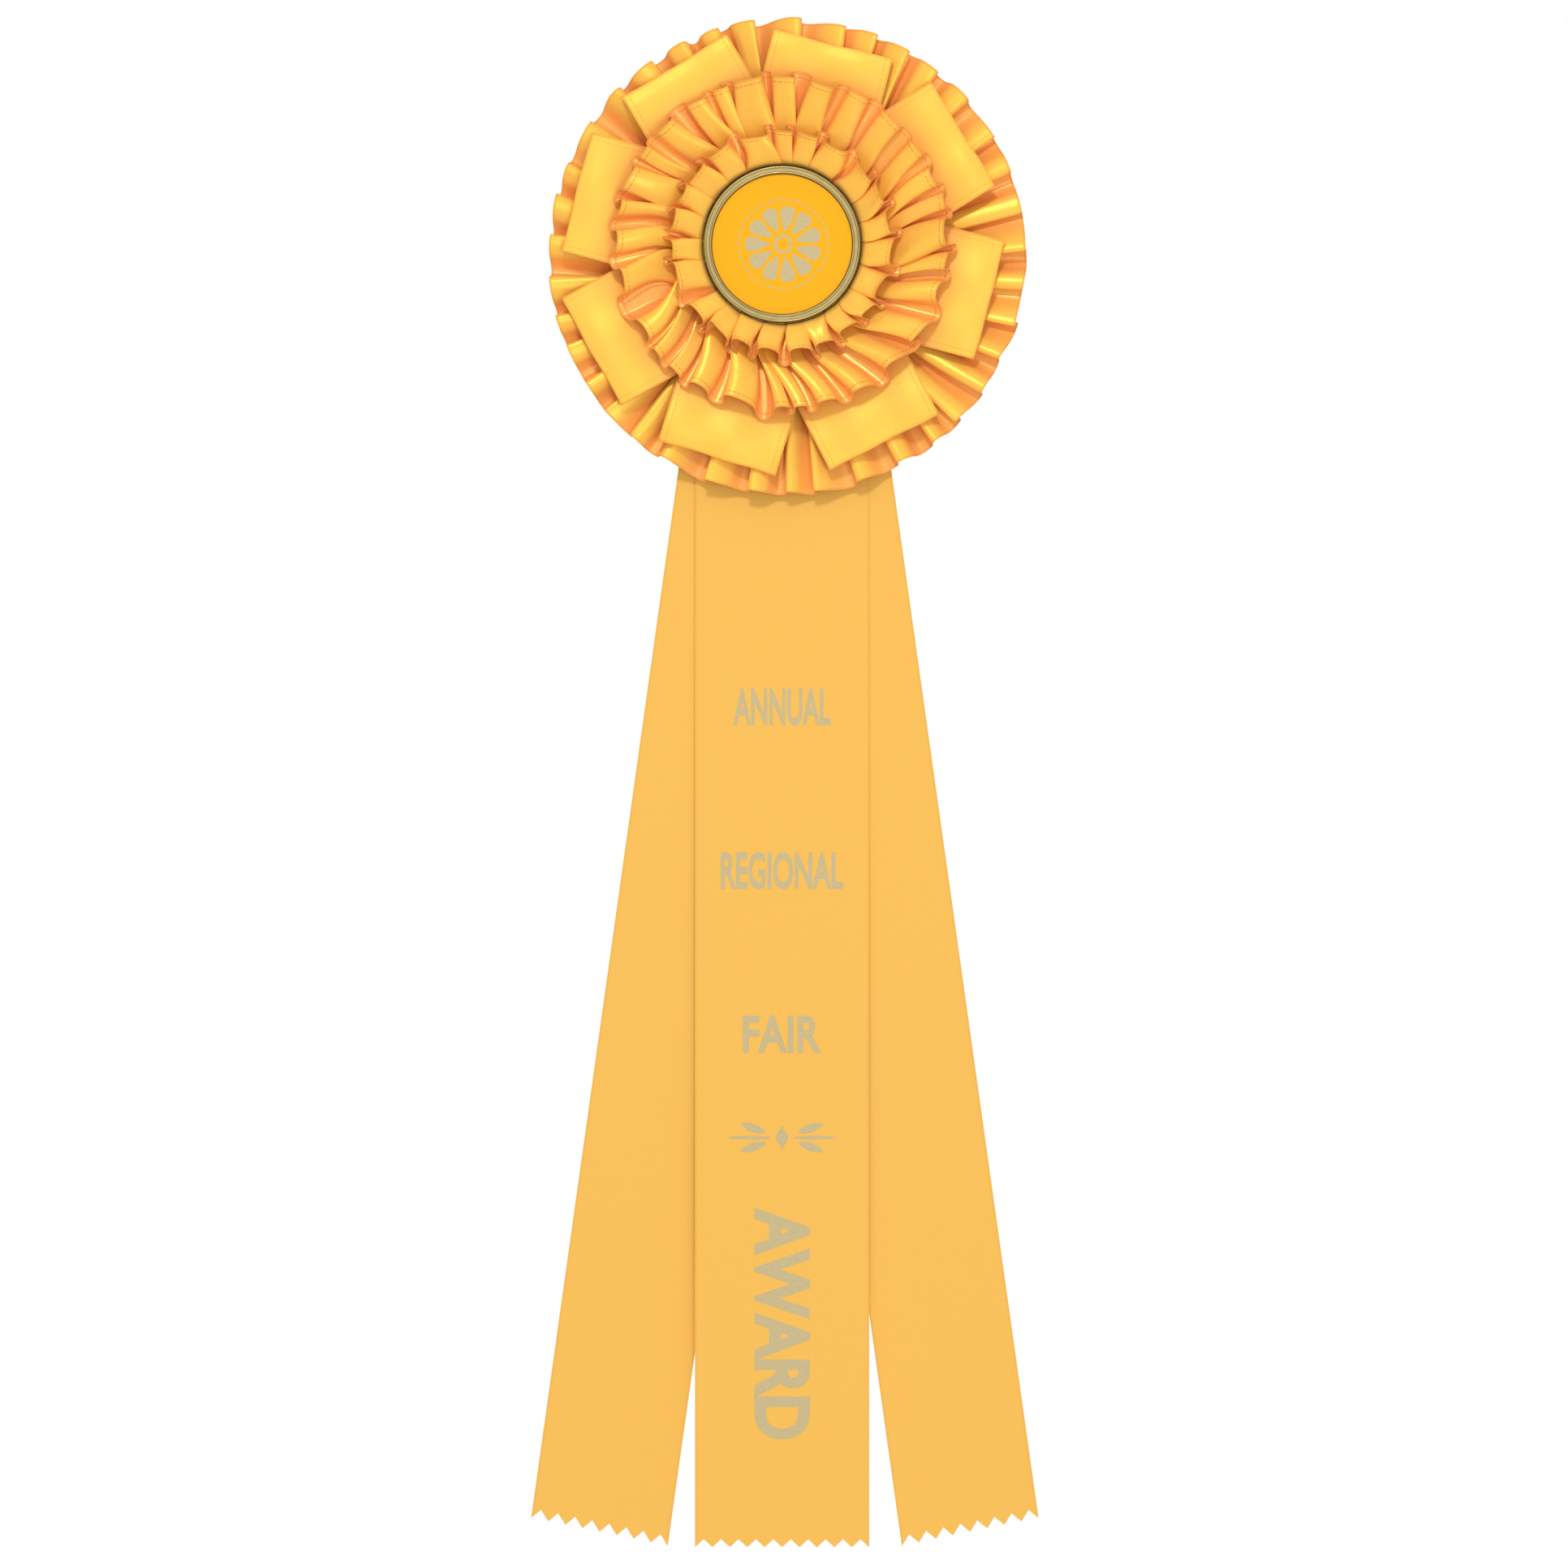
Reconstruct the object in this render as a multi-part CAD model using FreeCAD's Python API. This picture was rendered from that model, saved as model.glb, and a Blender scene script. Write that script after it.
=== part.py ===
"""A show award ribbon: a gathered rosette with a centre button, three streamers and a bar pin at the back.

The frame has +Z up, +X to the viewer's right and -Y towards the viewer. The origin is the middle of the
bar pin's stem, on the rosette's own axis. Depths inside the rosette are given as a level: the distance in
front of the back card's rear face.
"""

import FreeCAD
import Part
import math
import os
from FreeCAD import Vector

# ---------------------------------------------------------------- driving dimensions, mm and degrees

# Ribbon stock
ribbon_t = 0.35
centre_w = 63.5
side_w = 50.8
loop_w = 44.45

# Streamers, measured from the rosette's axis
centre_drop = 470.0
streamer_head = 30.0
side_splay = 8.0
left_pivot = 9.3
left_length = 478.9
right_pivot = 23.4
right_length = 493.1
side_cut_skew = 3.6
tooth_pitch = 6.35
tooth_depth = 3.2
centre_fold_drop = 3.0
side_fold_clear = 12.0
fold_gap = 0.1

# The loops, both inner ruffles and the button are built this far above the outer ruffle's centre
heart_rise = 3.8

# Cards
card_t = 1.0
back_card_r = 50.0
card_step = 1.0
middle_step = 3.0
button_overhang = 1.5

# Outer ruffle
outer_pleats = 38
outer_r = 87.0
outer_hole_r = 18.0
outer_rise = 1.95
outer_pleat_in = 3.0
outer_pleat_out = 5.5

# Loops
loop_count = 8
loop_phase = 14.0
loop_r = 76.7
loop_inner_r = 9.0
loop_side_gap = 0.25
loop_fold_r = 2.4
loop_lift = 2.85
loop_shoulder_r = 60.0
loop_shoulder_share = 0.86

# Middle ruffle
middle_pleats = 30
middle_r = 61.0
middle_hole_r = 17.0
middle_rise = 5.65
middle_pleat_in = 2.85
middle_pleat_out = 5.6

# Inner ruffle
inner_pleats = 23
inner_show = 13.7
inner_hole_r = 15.0
inner_rise = 3.25
inner_pleat_in = 2.4
inner_pleat_out = 4.2

# Stitches that hold the pleats to their cards
stitch_t = 0.3
stitch_share = 0.6

# Staples
wire = 0.5
streamer_crown = 12.0
streamer_clinch = 4.0
streamer_staple_z = 6.0
loop_crown = 7.0
loop_clinch = 2.6
loop_staple_clear = 1.2

# Hot glue dabs on the axis
glue_r = 5.0
loop_glue_r = 7.0

# Button
button_r = 28.5
button_sight_r = 25.4
button_lift = 0.6
rim_t = 0.4
rim_lip = 0.5
rim_bead_r = 0.55
rim_crimp_w = 4.0
board_t = 1.2
face_t = 0.7
face_fit = 0.1
prong_plate_r = 9.0
prong_r = 6.3
prong_w = 2.0
prong_bend = 5.0

# Bar pin
pin_stand = 2.7
bar_length = 38.0
bar_w = 5.5
bar_t = 0.7
bar_hole_r = 1.0
bar_hole_x = 7.0
stem_r = 0.45
stem_start_x = -13.5
stem_taper_x = 12.4
stem_tip_x = 17.6
stem_tip_r = 0.08
hinge_x = -16.0
eye_r = 1.2
eye_h = 1.6
shank_t = 1.0
rivet_r = 0.5
rivet_head_r = 0.95
rivet_head_t = 0.4
ear_t = 0.6
ear_gap = 0.1
ear_r = 1.6
catch_start_x = 13.5
catch_length = 4.4
catch_r = 2.1
catch_wall = 0.5
catch_slot = 1.5
catch_post_w = 2.4
rotor_wall = 0.65
rotor_slot = 1.3
rotor_flange_t = 0.5
rotor_tab_reach = 4.0
rotor_tab_w = 1.2
running_fit = 0.06

# ---------------------------------------------------------------- levels that follow from those sizes

back_face_y = -(pin_stand + bar_t)

left_level = card_t
right_level = left_level + ribbon_t
centre_level = right_level + ribbon_t
outer_card_level = centre_level + ribbon_t
outer_level = outer_card_level + card_t
loop_card_level = outer_level + outer_pleat_in + stitch_t
loop_level = loop_card_level + card_t
middle_card_level = loop_level + 2 * ribbon_t + wire
middle_level = middle_card_level + card_t
inner_card_level = middle_level + middle_pleat_in + stitch_t
inner_level = inner_card_level + card_t
button_level = inner_level + inner_pleat_in + button_lift
board_level = button_level + rim_t
face_level = board_level + board_t
lip_level = face_level + face_t

# Each card under the button is a little wider than the one in front of it. Its ribbon is sewn out
# to its rim
inner_sewn_r = button_r - button_overhang
middle_sewn_r = inner_sewn_r + middle_step
loop_card_r = middle_sewn_r + card_step
outer_sewn_r = loop_card_r + card_step
inner_r = button_r + inner_show

# The loops' staples stand proud behind their card, so they stay inside the outer ruffle's hole
loop_staple_r = outer_hole_r - heart_rise - loop_staple_clear

# The centre tail folds just below the outer ruffle, the side tails just below where their inner edges part
centre_fold_z = -(outer_r + centre_fold_drop)
side_parting_z = (left_pivot + right_pivot) / 2 - side_w / 2 / math.sin(math.radians(side_splay))
side_fold_z = side_parting_z - side_fold_clear

axis_forward = Vector(0, -1, 0)
far = 2000.0


def y_at(level):
    """The Y of a plane that lies this far in front of the back card's rear face."""
    return back_face_y - level


def disc(radius, level, thickness):
    """A disc on the rosette's axis, from a level forwards."""
    return Part.makeCylinder(radius, thickness, Vector(0, y_at(level), 0), axis_forward)


def block(x0, x1, y0, y1, z0, z1):
    """A box between two corners, given in any order."""
    low = Vector(min(x0, x1), min(y0, y1), min(z0, z1))
    return Part.makeBox(abs(x1 - x0), abs(y1 - y0), abs(z1 - z0), low)


# ---------------------------------------------------------------- streamers


class Streamer:
    """One streamer: its width, its splay about a pivot on the Z axis, its length, its layer and its fold."""

    def __init__(self, width, splay, pivot, length, skew, level, fold_z):
        self.width = width
        self.splay = math.radians(splay)
        self.pivot = pivot
        self.length = length
        self.skew = math.tan(math.radians(skew))
        self.front = y_at(level + ribbon_t)
        self.back = y_at(level)
        self.fold_z = fold_z

    def place(self, across, along):
        """A point of the flat ribbon in the XZ plane, from its distance across and down from the pivot."""
        x = across * math.cos(self.splay) - along * math.sin(self.splay)
        z = self.pivot - across * math.sin(self.splay) - along * math.cos(self.splay)
        return Vector(x, 0, z)

    def prism(self):
        """The ribbon's outline with its pinked end, made into a deep prism."""
        half = self.width / 2
        teeth = round(self.width / tooth_pitch)
        head = self.pivot - streamer_head
        points = [self.place(-half, head), self.place(half, head)]
        for step in range(2 * teeth + 1):
            across = half - self.width * step / (2 * teeth)
            notch = tooth_depth if step % 2 else 0.0
            points.append(self.place(across, self.length + across * self.skew - notch))
        face = Part.Face(Part.makePolygon(points + points[:1]))
        return face.extrude(Vector(0, -far, 0)).translated(Vector(0, far / 2, 0))

    def head(self):
        """The fixed upper length, from above the staples down to the fold."""
        bottom = self.fold_z + ribbon_t / 2 + fold_gap
        return self.prism().common(block(-far, far, self.front, self.back, bottom, far))

    def tail(self):
        """The free length below the fold, whose upper end is rounded to turn about the fold line."""
        low_front = Vector(-far, self.front, -far)
        top_front = Vector(-far, self.front, self.fold_z)
        crown = Vector(-far, (self.front + self.back) / 2, self.fold_z + ribbon_t / 2)
        top_back = Vector(-far, self.back, self.fold_z)
        low_back = Vector(-far, self.back, -far)
        edges = [
            Part.makeLine(low_front, top_front),
            Part.Arc(top_front, crown, top_back).toShape(),
            Part.makeLine(top_back, low_back),
            Part.makeLine(low_back, low_front),
        ]
        slab = Part.Face(Part.Wire(edges)).extrude(Vector(2 * far, 0, 0))
        return slab.common(self.prism())


left_streamer = Streamer(
    side_w, side_splay, left_pivot, left_length, side_cut_skew, left_level, side_fold_z
)
right_streamer = Streamer(
    side_w, -side_splay, right_pivot, right_length, -side_cut_skew, right_level, side_fold_z
)
centre_streamer = Streamer(centre_w, 0.0, 0.0, centre_drop, 0.0, centre_level, centre_fold_z)


# ---------------------------------------------------------------- pleated ruffles


def pleated_ring(pleats, stations):
    """A ribbon gathered into a ring of straight folds.

    Each station is (radius, level of the valleys' rear face, pleat depth). The cloth is one thin sheet that
    runs from valley to ridge and back, so its rear face is its front face moved back by the ribbon's
    thickness.
    """
    steps = 2 * pleats
    points, triangles = [], []

    def index(side, station, step):
        return (side * len(stations) + station) * steps + step % steps

    for side in (0, 1):
        for radius, level, depth in stations:
            for step in range(steps):
                angle = math.pi * step / pleats
                height = level + (depth - ribbon_t if step % 2 else 0.0)
                height += ribbon_t if side == 0 else 0.0
                points.append(Vector(radius * math.sin(angle), y_at(height), radius * math.cos(angle)))
    last = len(stations) - 1
    for step in range(steps):
        for station in range(last):
            a, b = index(0, station, step), index(0, station, step + 1)
            c, d = index(0, station + 1, step + 1), index(0, station + 1, step)
            triangles += [(a, c, b), (a, d, c)]
            shift = len(stations) * steps
            triangles += [(a + shift, b + shift, c + shift), (a + shift, c + shift, d + shift)]
        for station, flip in ((0, False), (last, True)):
            a, b = index(0, station, step), index(0, station, step + 1)
            c, d = index(1, station, step + 1), index(1, station, step)
            pair = [(a, b, c), (a, c, d)]
            triangles += [t[::-1] for t in pair] if flip else pair
    shell = Part.Shape()
    shell.makeShapeFromMesh((points, triangles), 0.001)
    solid = Part.Solid(Part.Shell(shell.Faces))
    if solid.Volume < 0:
        solid.reverse()
    return solid


def stitches(pleats, radius, level):
    """One short stitch across each ridge, as separate solids."""
    length = stitch_share * 2 * math.pi * radius / pleats
    made = []
    for k in range(pleats):
        bar = block(-length / 2, length / 2, y_at(level), y_at(level + stitch_t),
                    radius - stitch_t / 2, radius + stitch_t / 2)
        bar.rotate(Vector(0, 0, 0), Vector(0, 1, 0), 360 * (k + 0.5) / pleats)
        made.append(bar)
    return Part.makeCompound(made)


def outer_ruffle():
    return pleated_ring(outer_pleats, [
        (outer_hole_r, outer_level, outer_pleat_in),
        (outer_sewn_r, outer_level, outer_pleat_in),
        (outer_r, outer_level + outer_rise, outer_pleat_out),
    ])


def middle_ruffle():
    return pleated_ring(middle_pleats, [
        (middle_hole_r, middle_level, middle_pleat_in),
        (middle_sewn_r, middle_level, middle_pleat_in),
        (middle_r, middle_level + middle_rise, middle_pleat_out),
    ])


def inner_ruffle():
    return pleated_ring(inner_pleats, [
        (inner_hole_r, inner_level, inner_pleat_in),
        (inner_sewn_r, inner_level, inner_pleat_in),
        (inner_r, inner_level + inner_rise, inner_pleat_out),
    ])


# ---------------------------------------------------------------- loops


def loop_outline(inset):
    """The sizes of a folded ribbon's side view, for its outside (inset 0) or its inside (inset ribbon_t)."""
    low, high = loop_level + inset, loop_level + 2 * ribbon_t - inset
    fold = loop_fold_r - inset
    centre_r, centre = loop_r - loop_fold_r, loop_level + loop_lift + loop_fold_r
    shoulder = centre + (loop_fold_r * loop_shoulder_share) - inset - ribbon_t
    return low, high, fold, centre_r, centre, shoulder


def loop_outside():
    """The closed outline of the folded ribbon: lower leg, round fold, upper leg."""
    low, high, fold, centre_r, centre, shoulder = loop_outline(0.0)

    def at(radius, level):
        return Vector(0, y_at(level), radius)

    under = [at(loop_inner_r, low), at(loop_card_r, low), at(centre_r, centre - fold)]
    over = [at(centre_r, centre + fold), at(loop_shoulder_r, shoulder), at(loop_card_r, high)]
    over.append(at(loop_inner_r, high))
    edges = [Part.makeLine(a, b) for a, b in zip(under, under[1:])]
    edges.append(Part.Arc(under[-1], at(centre_r + fold, centre), over[0]).toShape())
    edges += [Part.makeLine(a, b) for a, b in zip(over, over[1:])]
    edges.append(Part.makeLine(over[-1], under[0]))
    return Part.Wire(edges)


def ribbon_loop():
    """One loop pointing straight up: a folded ribbon, narrowed beside its neighbours near the middle."""
    outside = Part.Face(loop_outside()).extrude(Vector(loop_w, 0, 0))
    inside = Part.Face(loop_hollow()).extrude(Vector(loop_w, 0, 0))
    band = outside.cut(inside).translated(Vector(-loop_w / 2, 0, 0))
    half = math.pi / loop_count
    reach = far * math.tan(half)
    apex = loop_side_gap / 2 / math.sin(half)
    sector = Part.makePolygon([Vector(0, far / 2, apex), Vector(reach, far / 2, apex + far),
                               Vector(-reach, far / 2, apex + far), Vector(0, far / 2, apex)])
    return band.common(Part.Face(sector).extrude(Vector(0, -far, 0)))


def loop_hollow():
    """The outline of the air inside a loop, which starts as a point where the two legs part."""
    low, _, fold, centre_r, centre, shoulder = loop_outline(ribbon_t)
    start = Vector(0, y_at(low), loop_card_r)
    under = Vector(0, y_at(centre - fold), centre_r)
    tip = Vector(0, y_at(centre), centre_r + fold)
    over = Vector(0, y_at(centre + fold), centre_r)
    bend = Vector(0, y_at(shoulder), loop_shoulder_r)
    return Part.Wire([
        Part.makeLine(start, under),
        Part.Arc(under, tip, over).toShape(),
        Part.makeLine(over, bend),
        Part.makeLine(bend, start),
    ])


def loop_angle(k):
    return loop_phase + 360.0 * k / loop_count


def spun(shape, angle):
    """A copy turned clockwise, as the viewer sees it, about the rosette's axis."""
    return shape.copy().rotate(Vector(0, 0, 0), Vector(0, 1, 0), angle)


# ---------------------------------------------------------------- staples and their holes


def staple(crown, clinch, crown_face, clinch_face):
    """A clinched staple: crown outside crown_face, legs through, points folded in outside clinch_face."""
    out = wire if crown_face < clinch_face else -wire
    half = crown / 2
    parts = [
        block(-half, half, y_at(crown_face - out), y_at(crown_face), -wire / 2, wire / 2),
        block(-half, -half + clinch, y_at(clinch_face), y_at(clinch_face + out), -wire / 2, wire / 2),
        block(half - clinch, half, y_at(clinch_face), y_at(clinch_face + out), -wire / 2, wire / 2),
    ]
    for side in (-1, 1):
        edge = side * half
        parts.append(block(edge, edge - side * wire, y_at(crown_face - out), y_at(clinch_face + out),
                           -wire / 2, wire / 2))
    return parts[0].multiFuse(parts[1:]).removeSplitter()


def streamer_staple_list():
    made = []
    for z in (streamer_staple_z, -streamer_staple_z):
        one = staple(streamer_crown, streamer_clinch, left_level, outer_level)
        made.append(one.translated(Vector(0, 0, z)))
    return made


def loop_staple_list():
    one = staple(loop_crown, loop_clinch, loop_level + 2 * ribbon_t, loop_card_level)
    one = one.translated(Vector(0, 0, loop_staple_r))
    return [spun(one, loop_angle(k)) for k in range(loop_count)]


def pierced(shape, wires):
    """The shape with the wires' own room taken out of it."""
    for one in wires:
        shape = shape.cut(one)
    return shape


# ---------------------------------------------------------------- button


def button_rim():
    """A ring of sheet metal: a rounded lip over the face, a side wall, and a crimped rear flange."""
    wall = button_r - rim_t
    top = lip_level + rim_lip
    outer_bead = button_r - rim_bead_r
    inner_bead = button_sight_r + rim_bead_r

    def at(radius, level):
        return Vector(radius, y_at(level), 0)

    def arc(centre_r, level, radius, start, end):
        middle = (start + end) / 2
        return Part.Arc(*[at(centre_r + radius * math.cos(math.radians(a)),
                             level + radius * math.sin(math.radians(a)))
                          for a in (start, middle, end)]).toShape()

    bead = rim_bead_r
    edges = [
        Part.makeLine(at(button_r, button_level), at(button_r, top)),
        arc(outer_bead, top, bead, 0, 150),
        arc(inner_bead, top, bead, 30, 180),
        Part.makeLine(at(button_sight_r, top), at(button_sight_r, lip_level)),
        Part.makeLine(at(button_sight_r, lip_level), at(wall, lip_level)),
        Part.makeLine(at(wall, lip_level), at(wall, board_level)),
        Part.makeLine(at(wall, board_level), at(button_r - rim_crimp_w, board_level)),
        Part.makeLine(at(button_r - rim_crimp_w, board_level), at(button_r - rim_crimp_w, button_level)),
        Part.makeLine(at(button_r - rim_crimp_w, button_level), at(button_r, button_level)),
    ]
    step = bead * math.cos(math.radians(30))
    rise = bead * math.sin(math.radians(30))
    edges.insert(2, Part.makeLine(at(outer_bead - step, top + rise), at(inner_bead + step, top + rise)))
    return Part.Face(Part.Wire(edges)).revolve(Vector(0, 0, 0), Vector(0, 1, 0), 360)


def button_prongs():
    """A tin plate behind the button with two prongs that pass through the inner card and fold outwards."""
    shape = disc(prong_plate_r, button_level, rim_t)
    for side in (-1, 1):
        x0, x1 = side * prong_r, side * (prong_r + rim_t)
        leg = block(x0, x1, y_at(button_level), y_at(inner_card_level - rim_t), -prong_w / 2, prong_w / 2)
        foot = block(x0, side * (prong_r + prong_bend), y_at(inner_card_level),
                     y_at(inner_card_level - rim_t), -prong_w / 2, prong_w / 2)
        shape = shape.fuse(leg).fuse(foot)
    return shape.removeSplitter()


# ---------------------------------------------------------------- bar pin


def pin_bar():
    """The pin's base: a plate with two ears for the hinge and a slotted housing for the catch."""
    plate_face = -pin_stand
    shape = block(-bar_length / 2, bar_length / 2, back_face_y, plate_face, -bar_w / 2, bar_w / 2)
    corner = bar_w / 2 - 0.01
    upright = [e for e in shape.Edges if abs(e.tangentAt(e.FirstParameter).y) > 0.99]
    shape = shape.makeFillet(corner, upright)
    for x in (-bar_hole_x, bar_hole_x):
        shape = shape.cut(Part.makeCylinder(bar_hole_r, bar_t, Vector(x, back_face_y, 0), Vector(0, 1, 0)))
    inside = eye_h / 2 + ear_gap
    for side in (-1, 1):
        z0, z1 = side * inside, side * (inside + ear_t)
        cheek = block(hinge_x - ear_r, hinge_x + ear_r, plate_face, 0, z0, z1)
        cheek = cheek.fuse(Part.makeCylinder(ear_r, ear_t, Vector(hinge_x, 0, min(z0, z1)), Vector(0, 0, 1)))
        shape = shape.fuse(cheek)
    shape = shape.cut(Part.makeCylinder(rivet_r, far, Vector(hinge_x, 0, -far / 2), Vector(0, 0, 1)))
    along = Vector(1, 0, 0)
    start = Vector(catch_start_x, 0, 0)
    end_x = catch_start_x + catch_length
    housing = Part.makeCylinder(catch_r, catch_length, start, along)
    housing = housing.fuse(block(catch_start_x, end_x, plate_face, 0, -catch_post_w / 2, catch_post_w / 2))
    housing = housing.cut(Part.makeCylinder(catch_r - catch_wall, catch_length, start, along))
    housing = housing.cut(block(catch_start_x, end_x, 0, far, -catch_slot / 2, catch_slot / 2))
    return shape.fuse(housing).removeSplitter()


def pin_rivet():
    """The hinge's rivet, with a head outside each ear."""
    reach = eye_h / 2 + ear_gap + ear_t
    up = Vector(0, 0, 1)
    shape = Part.makeCylinder(rivet_r, 2 * reach, Vector(hinge_x, 0, -reach), up)
    for z in (-reach - rivet_head_t, reach):
        shape = shape.fuse(Part.makeCylinder(rivet_head_r, rivet_head_t, Vector(hinge_x, 0, z), up))
    return shape.removeSplitter()


def pin_stem():
    """The stem: an eye round the rivet, a flattened shank, a straight wire and a tapered point."""
    along = Vector(1, 0, 0)
    shape = Part.makeCylinder(eye_r, eye_h, Vector(hinge_x, 0, -eye_h / 2), Vector(0, 0, 1))
    shape = shape.fuse(block(hinge_x, stem_start_x, -shank_t / 2, shank_t / 2, -eye_h / 2, eye_h / 2))
    wire_length = stem_taper_x - stem_start_x
    shape = shape.fuse(Part.makeCylinder(stem_r, wire_length, Vector(stem_start_x, 0, 0), along))
    point = Part.makeCone(stem_r, stem_tip_r, stem_tip_x - stem_taper_x, Vector(stem_taper_x, 0, 0), along)
    shape = shape.fuse(point)
    bore_r = rivet_r + running_fit
    shape = shape.cut(Part.makeCylinder(bore_r, far, Vector(hinge_x, 0, -far / 2), Vector(0, 0, 1)))
    return shape.removeSplitter()


def catch_rotor():
    """The turning sleeve that locks the point: a slotted tube with end flanges and a thumb tab."""
    along = Vector(1, 0, 0)
    tube_r = catch_r - catch_wall - running_fit
    start_x = catch_start_x - running_fit - rotor_flange_t
    end_x = catch_start_x + catch_length + running_fit + rotor_flange_t
    shape = Part.makeCylinder(tube_r, end_x - start_x, Vector(start_x, 0, 0), along)
    for x in (start_x, end_x - rotor_flange_t):
        shape = shape.fuse(Part.makeCylinder(catch_r, rotor_flange_t, Vector(x, 0, 0), along))
    shape = shape.fuse(block(end_x - rotor_flange_t, end_x, -rotor_tab_w / 2, rotor_tab_w / 2, 0,
                             rotor_tab_reach))
    shape = shape.cut(Part.makeCylinder(tube_r - rotor_wall, end_x - start_x, Vector(start_x, 0, 0), along))
    shape = shape.cut(block(start_x, end_x, 0, far, -rotor_slot / 2, rotor_slot / 2))
    return shape.removeSplitter()


# ---------------------------------------------------------------- the assembly


def back_parts():
    """What is built round the outer ruffle's own centre."""
    wires = streamer_staple_list()
    glue = pierced(disc(glue_r, outer_level, loop_card_level - outer_level), wires)
    parts = {
        "back_card": pierced(disc(back_card_r, 0, card_t), wires),
        "outer_card": pierced(disc(outer_sewn_r, outer_card_level, card_t), wires),
        "streamer_staples": Part.makeCompound(wires),
        "outer_ruffle": outer_ruffle(),
        "outer_stitches": stitches(outer_pleats, (outer_hole_r + outer_sewn_r) / 2,
                                   outer_level + outer_pleat_in),
        "outer_glue": glue,
    }
    for name, streamer in (("left", left_streamer), ("right", right_streamer), ("centre", centre_streamer)):
        parts[name + "_streamer_head"] = pierced(streamer.head(), wires)
        parts[name + "_streamer_tail"] = streamer.tail()
    return parts


def heart_parts():
    """What is built round the button's centre, on the axis until it is lifted into place."""
    loop_wires = loop_staple_list()
    parts = {
        "loop_card": pierced(disc(loop_card_r, loop_card_level, card_t), loop_wires),
        "loop_staples": Part.makeCompound(loop_wires),
        "middle_card": disc(middle_sewn_r, middle_card_level, card_t),
        "middle_ruffle": middle_ruffle(),
        "middle_stitches": stitches(middle_pleats, (middle_hole_r + middle_sewn_r) / 2,
                                    middle_level + middle_pleat_in),
        "inner_card": disc(inner_sewn_r, inner_card_level, card_t).cut(button_prongs()),
        "inner_ruffle": inner_ruffle(),
        "inner_stitches": stitches(inner_pleats, (inner_hole_r + inner_sewn_r) / 2,
                                   inner_level + inner_pleat_in),
        "loop_glue": disc(loop_glue_r, loop_level, middle_card_level - loop_level),
        "middle_glue": disc(glue_r, middle_level, inner_card_level - middle_level),
        "button_prongs": button_prongs(),
        "button_board": disc(button_r - rim_t - face_fit, board_level, board_t),
        "button_face": disc(button_r - rim_t - face_fit, face_level, face_t),
        "button_rim": button_rim(),
    }
    loop = ribbon_loop()
    for k in range(loop_count):
        parts[f"loop_{k + 1}"] = pierced(spun(loop, loop_angle(k)), loop_wires)
    return {node: shape.translated(Vector(0, 0, heart_rise)) for node, shape in parts.items()}


def pin_parts():
    """The bar pin."""
    return {
        "pin_bar": pin_bar(),
        "pin_rivet": pin_rivet(),
        "pin_stem": pin_stem(),
        "catch_rotor": catch_rotor(),
    }


if __name__ == "__main__":
    os.makedirs("parts", exist_ok=True)
    for node, shape in {**back_parts(), **heart_parts(), **pin_parts()}.items():
        shape.exportStep(f"parts/{node}.step")
        volume = sum(solid.Volume for solid in shape.Solids)
        print(f"{node}: {len(shape.Solids)} solids, {volume:.2f} mm3, valid {shape.isValid()}")
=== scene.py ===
"""The looks of a show rosette: three gathered satin ruffles, eight folded loops, a brass-rimmed button,
three pinked streamers with foil lettering, and a bar pin at the back.

Lengths are metres in the part's own frame: +Z up, -Y out of the button. Ribbon patterns read the piece's
own UV map, whose U runs along the ribbon and V across it, both in millimetres.
"""

import math

import bmesh
import bpy
import numpy as np
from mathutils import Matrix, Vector


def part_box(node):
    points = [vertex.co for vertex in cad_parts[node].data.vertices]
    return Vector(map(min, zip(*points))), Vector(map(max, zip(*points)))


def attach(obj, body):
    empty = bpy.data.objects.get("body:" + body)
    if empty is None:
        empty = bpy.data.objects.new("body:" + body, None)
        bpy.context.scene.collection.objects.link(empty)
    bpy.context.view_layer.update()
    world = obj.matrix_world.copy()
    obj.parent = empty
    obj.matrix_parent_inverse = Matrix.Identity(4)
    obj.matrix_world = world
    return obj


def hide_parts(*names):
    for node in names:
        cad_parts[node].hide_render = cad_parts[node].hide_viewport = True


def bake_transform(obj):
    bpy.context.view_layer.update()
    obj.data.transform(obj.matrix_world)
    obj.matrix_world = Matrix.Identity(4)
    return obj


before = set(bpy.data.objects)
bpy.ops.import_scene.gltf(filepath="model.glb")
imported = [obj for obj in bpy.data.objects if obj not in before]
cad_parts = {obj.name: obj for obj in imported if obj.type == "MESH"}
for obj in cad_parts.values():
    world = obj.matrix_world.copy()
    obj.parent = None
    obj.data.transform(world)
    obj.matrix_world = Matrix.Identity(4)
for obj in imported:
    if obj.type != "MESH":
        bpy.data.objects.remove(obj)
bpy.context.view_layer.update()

bl_info = {
    "name": "Show rosette",
    "version": (1, 0, 0),
    "blender": (4, 5, 0),
    "location": "3D View > Sidebar > Rosette",
    "description": "Makes the satin, foil and metal of a show rosette round its packed frame",
    "category": "Object",
}

MM = 0.001
PER_MM = (1000, 1000, 1000)  # stretches metres to millimetres for a pattern
HELD = 120 * MM  # the top of a streamer, which lies flat behind the ruffles
FLOURISH_Z = -320.9 * MM  # the middle of the ornament under the three lines


def front(node):
    """The Y of a node's side towards the viewer."""
    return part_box(node)[0].y


def rear(node):
    """The Y of a node's side towards the wearer."""
    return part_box(node)[1].y


def middle(node):
    """The middle of a node's box."""
    low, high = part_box(node)
    return (low + high) / 2


HEART = middle("button_face")


# ------------------------------------------------------------------ settings


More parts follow.
